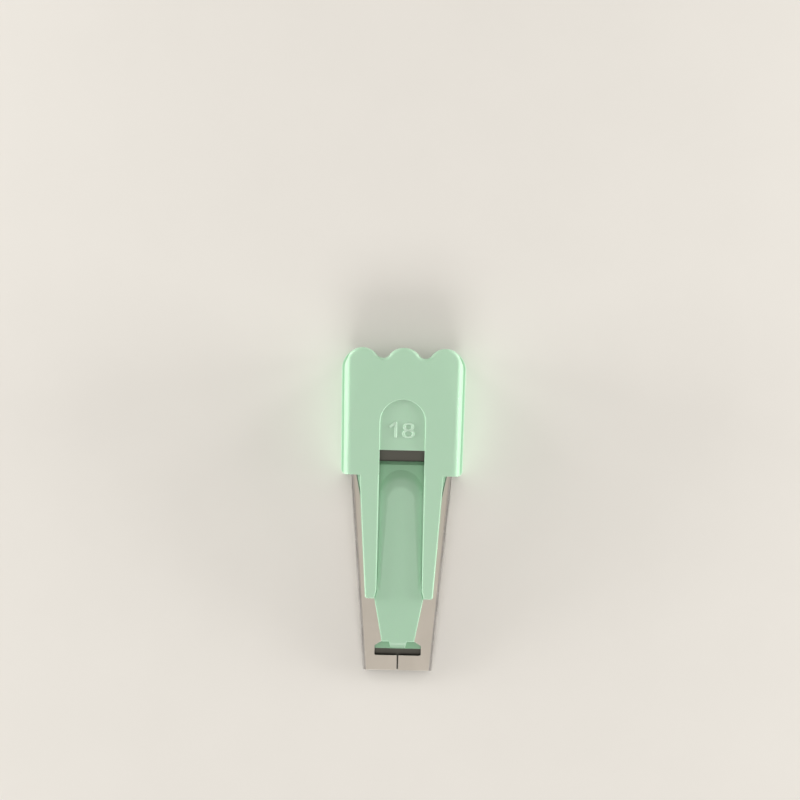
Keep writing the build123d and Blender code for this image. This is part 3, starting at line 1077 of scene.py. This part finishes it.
@dataclass
class TapeWidthNumber:
    """The tape's width in millimetres, raised in low relief on the cover's panel.

    Sizes are in metres, in sheet coordinates.
    """

    stroke: float = 0.42 * MM
    rise: float = 0.24 * MM
    sink: float = 0.05 * MM
    one_across: float = -1.93 * MM
    one_low: float = 66.38 * MM
    one_high: float = 70.15 * MM
    flag_across: float = -3.35 * MM
    flag_low: float = 69.18 * MM
    eight_across: float = 1.62 * MM
    lower_middle: float = 67.19 * MM
    lower_half: tuple[float, float] = (1.40 * MM, 0.98 * MM)
    upper_middle: float = 69.11 * MM
    upper_half: tuple[float, float] = (1.18 * MM, 0.92 * MM)
    bar_sides: int = 24
    cap_turn: float = 1.0
    cap_round: float = 0.92
    cap_segments: int = 6
    ring_sides: int = 20
    ring_steps: int = 48

    def build(self, material: bpy.types.Material) -> bpy.types.Object:
        """Return the raised number.

        Args:
            material: The number's finish.

        Returns:
            The number's object.
        """
        shape = bmesh.new()
        self._bar(shape, (self.one_across, self.one_low), (self.one_across, self.one_high))
        self._bar(shape, (self.flag_across, self.flag_low), (self.one_across, self.one_high))
        self._loop(shape, self.lower_middle, *self.lower_half)
        self._loop(shape, self.upper_middle, *self.upper_half)
        floor = SHEET.crown_top - SHEET.panel_depth
        lift = Matrix.Translation((0, 0, floor - self.sink))
        flatten = Matrix.Diagonal((1, 1, (self.rise + self.sink) / self.stroke, 1))
        bmesh.ops.transform(shape, matrix=SHEET.matrix() @ lift @ flatten, verts=shape.verts)
        bmesh.ops.recalc_face_normals(shape, faces=shape.faces)
        for face in shape.faces:
            face.smooth = True
        mesh = bpy.data.meshes.new("tape_width_number")
        shape.to_mesh(mesh)
        shape.free()
        mesh.materials.append(material)
        number = bpy.data.objects.new("tape_width_number", mesh)
        bpy.context.scene.collection.objects.link(number)
        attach(number, "root")
        LOG.info("tape_width_number raised by %.2f mm", self.rise / MM)
        return number

    def _bar(
        self, shape: bmesh.types.BMesh, low: tuple[float, float], high: tuple[float, float]
    ) -> None:
        """Add a straight stroke with round ends between two points."""
        run = Vector((*high, 0)) - Vector((*low, 0))
        turn = run.to_track_quat("Z", "Y").to_matrix().to_4x4()
        middle = Matrix.Translation((Vector((*high, 0)) + Vector((*low, 0))) / 2)
        made = bmesh.ops.create_cone(
            shape,
            cap_ends=True,
            segments=self.bar_sides,
            radius1=self.stroke,
            radius2=self.stroke,
            depth=run.length + 2 * self.stroke,
            matrix=middle @ turn,
        )
        ends = {edge for vert in made["verts"] for edge in vert.link_edges}
        caps = [edge for edge in ends if edge.calc_face_angle(0.0) > self.cap_turn]
        bmesh.ops.bevel(
            shape,
            geom=caps,
            offset=self.stroke * self.cap_round,
            segments=self.cap_segments,
            profile=0.5,
            affect="EDGES",
            material=-1,
        )

    def _loop(
        self, shape: bmesh.types.BMesh, middle: float, half_wide: float, half_high: float
    ) -> None:
        """Add one round of the figure eight, as a closed ring."""
        known = set(shape.verts)
        ring = bmesh.ops.create_circle(
            shape,
            cap_ends=False,
            segments=self.ring_sides,
            radius=self.stroke,
            matrix=Matrix.Translation((half_wide, 0, 0)) @ Matrix.Rotation(math.pi / 2, 4, "X"),
        )
        edges = list({edge for vert in ring["verts"] for edge in vert.link_edges})
        bmesh.ops.spin(
            shape,
            geom=[*ring["verts"], *edges],
            cent=(0, 0, 0),
            axis=(0, 0, 1),
            angle=math.tau,
            steps=self.ring_steps,
            use_merge=True,
        )
        stretch = Matrix.Diagonal((1, half_high / half_wide, 1, 1))
        bmesh.ops.transform(
            shape,
            matrix=Matrix.Translation((self.eight_across, middle, 0)) @ stretch,
            verts=[vert for vert in shape.verts if vert not in known],
        )


@dataclass(frozen=True)
class PhotoView:
    """Where the photograph's frame lies over the maker."""

    pixels: int = 800
    pixel_size: float = 0.28 * MM
    tip_pixel: tuple[float, float] = (397.2, 668.9)
    tilt: float = math.radians(1.3)
    distance: float = 1.6
    sensor: float = 36.0
    near: float = 0.01
    far: float = 20.0

    def centre(self) -> Vector:
        """Return the point of the table that the frame's middle shows."""
        turn = Matrix.Rotation(self.tilt, 3, "Z")
        half = self.pixels / 2
        aside = (half - self.tip_pixel[0]) * self.pixel_size
        above = (self.tip_pixel[1] - half) * self.pixel_size
        return Vector((0, SHEET.tip_y, 0)) + turn @ Vector((aside, above, 0))

    def build(self) -> bpy.types.Object:
        """Return the camera, straight above the table."""
        lens = bpy.data.cameras.new("photo_camera")
        lens.sensor_width = self.sensor
        lens.lens = self.sensor * self.distance / (self.pixels * self.pixel_size)
        lens.clip_start = self.near
        lens.clip_end = self.far
        camera = bpy.data.objects.new("photo_camera", lens)
        camera.location = self.centre() + Vector((0, 0, self.distance))
        camera.rotation_euler = (0.0, 0.0, self.tilt)
        bpy.context.scene.collection.objects.link(camera)
        bpy.context.scene.camera = camera
        LOG.info("camera %.0f mm lens, %.1f m above", lens.lens, self.distance)
        return camera


@dataclass(frozen=True)
class Softbox:
    """One soft rectangular light that faces a point of the maker.

    Sizes and places are in metres and power is in watts. A light that isn't mirrored lights the
    maker and the table without showing in their sheen.
    """

    name: str
    place: tuple[float, float, float]
    wide: float
    high: float
    power: float
    colour: tuple[float, float, float] = (1.0, 0.98, 0.95)
    aim: tuple[float, float, float] = (0.0, 0.0, 0.008)
    mirrored: bool = True

    def build(self) -> bpy.types.Object:
        """Return the light."""
        lamp = bpy.data.lights.new(self.name, "AREA")
        lamp.shape = "RECTANGLE"
        lamp.size = self.wide
        lamp.size_y = self.high
        lamp.energy = self.power
        lamp.color = self.colour
        light = bpy.data.objects.new(self.name, lamp)
        light.location = self.place
        light.visible_camera = False
        light.visible_glossy = self.mirrored
        facing = Vector(self.aim) - Vector(self.place)
        light.rotation_euler = facing.to_track_quat("-Z", "Y").to_euler()
        bpy.context.scene.collection.objects.link(light)
        return light


class Studio:
    """Plain pale table, soft side lights and a pale surround."""

    table_half: float = 3.0
    table_cells: int = 8
    surround: tuple[float, float, float] = (0.60, 0.57, 0.53)
    surround_strength: float = 0.78
    boxes: tuple[Softbox, ...] = (
        Softbox(
            "left_softbox", (-0.6, 0.04, 0.07), wide=0.3, high=0.14, power=3.7, mirrored=False
        ),
        Softbox(
            "right_softbox", (0.62, 0.04, 0.07), wide=0.3, high=0.14, power=4.3, mirrored=False
        ),
        Softbox("left_rear_strip", (-0.42, 0.36, 0.16), wide=0.16, high=0.24, power=0.8),
        Softbox("right_rear_strip", (0.44, 0.36, 0.16), wide=0.16, high=0.24, power=0.8),
        Softbox("top_softbox", (0.0, -0.82, 0.62), wide=0.7, high=0.4, power=4.0),
        Softbox("sheet_card", (0.0, -0.29, 1.0), wide=0.7, high=0.6, power=0.14),
    )

    def build(self, groups: GroupShop) -> None:
        """Make the table, the lights, the surround and the camera."""
        shape = bmesh.new()
        bmesh.ops.create_grid(
            shape,
            x_segments=self.table_cells,
            y_segments=self.table_cells,
            size=self.table_half,
        )
        mesh = bpy.data.meshes.new("table")
        shape.to_mesh(mesh)
        shape.free()
        mesh.materials.append(PaleTable().material(groups))
        table = bpy.data.objects.new("table", mesh)
        bpy.context.scene.collection.objects.link(table)
        for box in self.boxes:
            box.build()
        world = bpy.data.worlds.new("surround")
        world.use_nodes = True
        air = world.node_tree.nodes["Background"]
        air.inputs["Color"].default_value = (*self.surround, 1.0)
        air.inputs["Strength"].default_value = self.surround_strength
        bpy.context.scene.world = world
        bpy.context.scene.view_settings.view_transform = "Standard"
        PhotoView().build()


def main() -> None:
    """Build the maker's looks and the studio around it."""
    logging.basicConfig(level=logging.INFO, format="%(name)s: %(message)s")
    groups = GroupShop()
    Mouldings().build(groups)
    RolledChannel().build(groups)
    # Painted highlight: the number is a lighter copy of the cover's mint, so the raised strokes
    # read lighter than the panel.
    number = MintPlastic("mint_number", base=(0.53, 0.76, 0.59), cloud=(0.51, 0.74, 0.57))
    TapeWidthNumber().build(number.material(groups))
    Studio().build(groups)


if __name__ == "__main__":
    main()
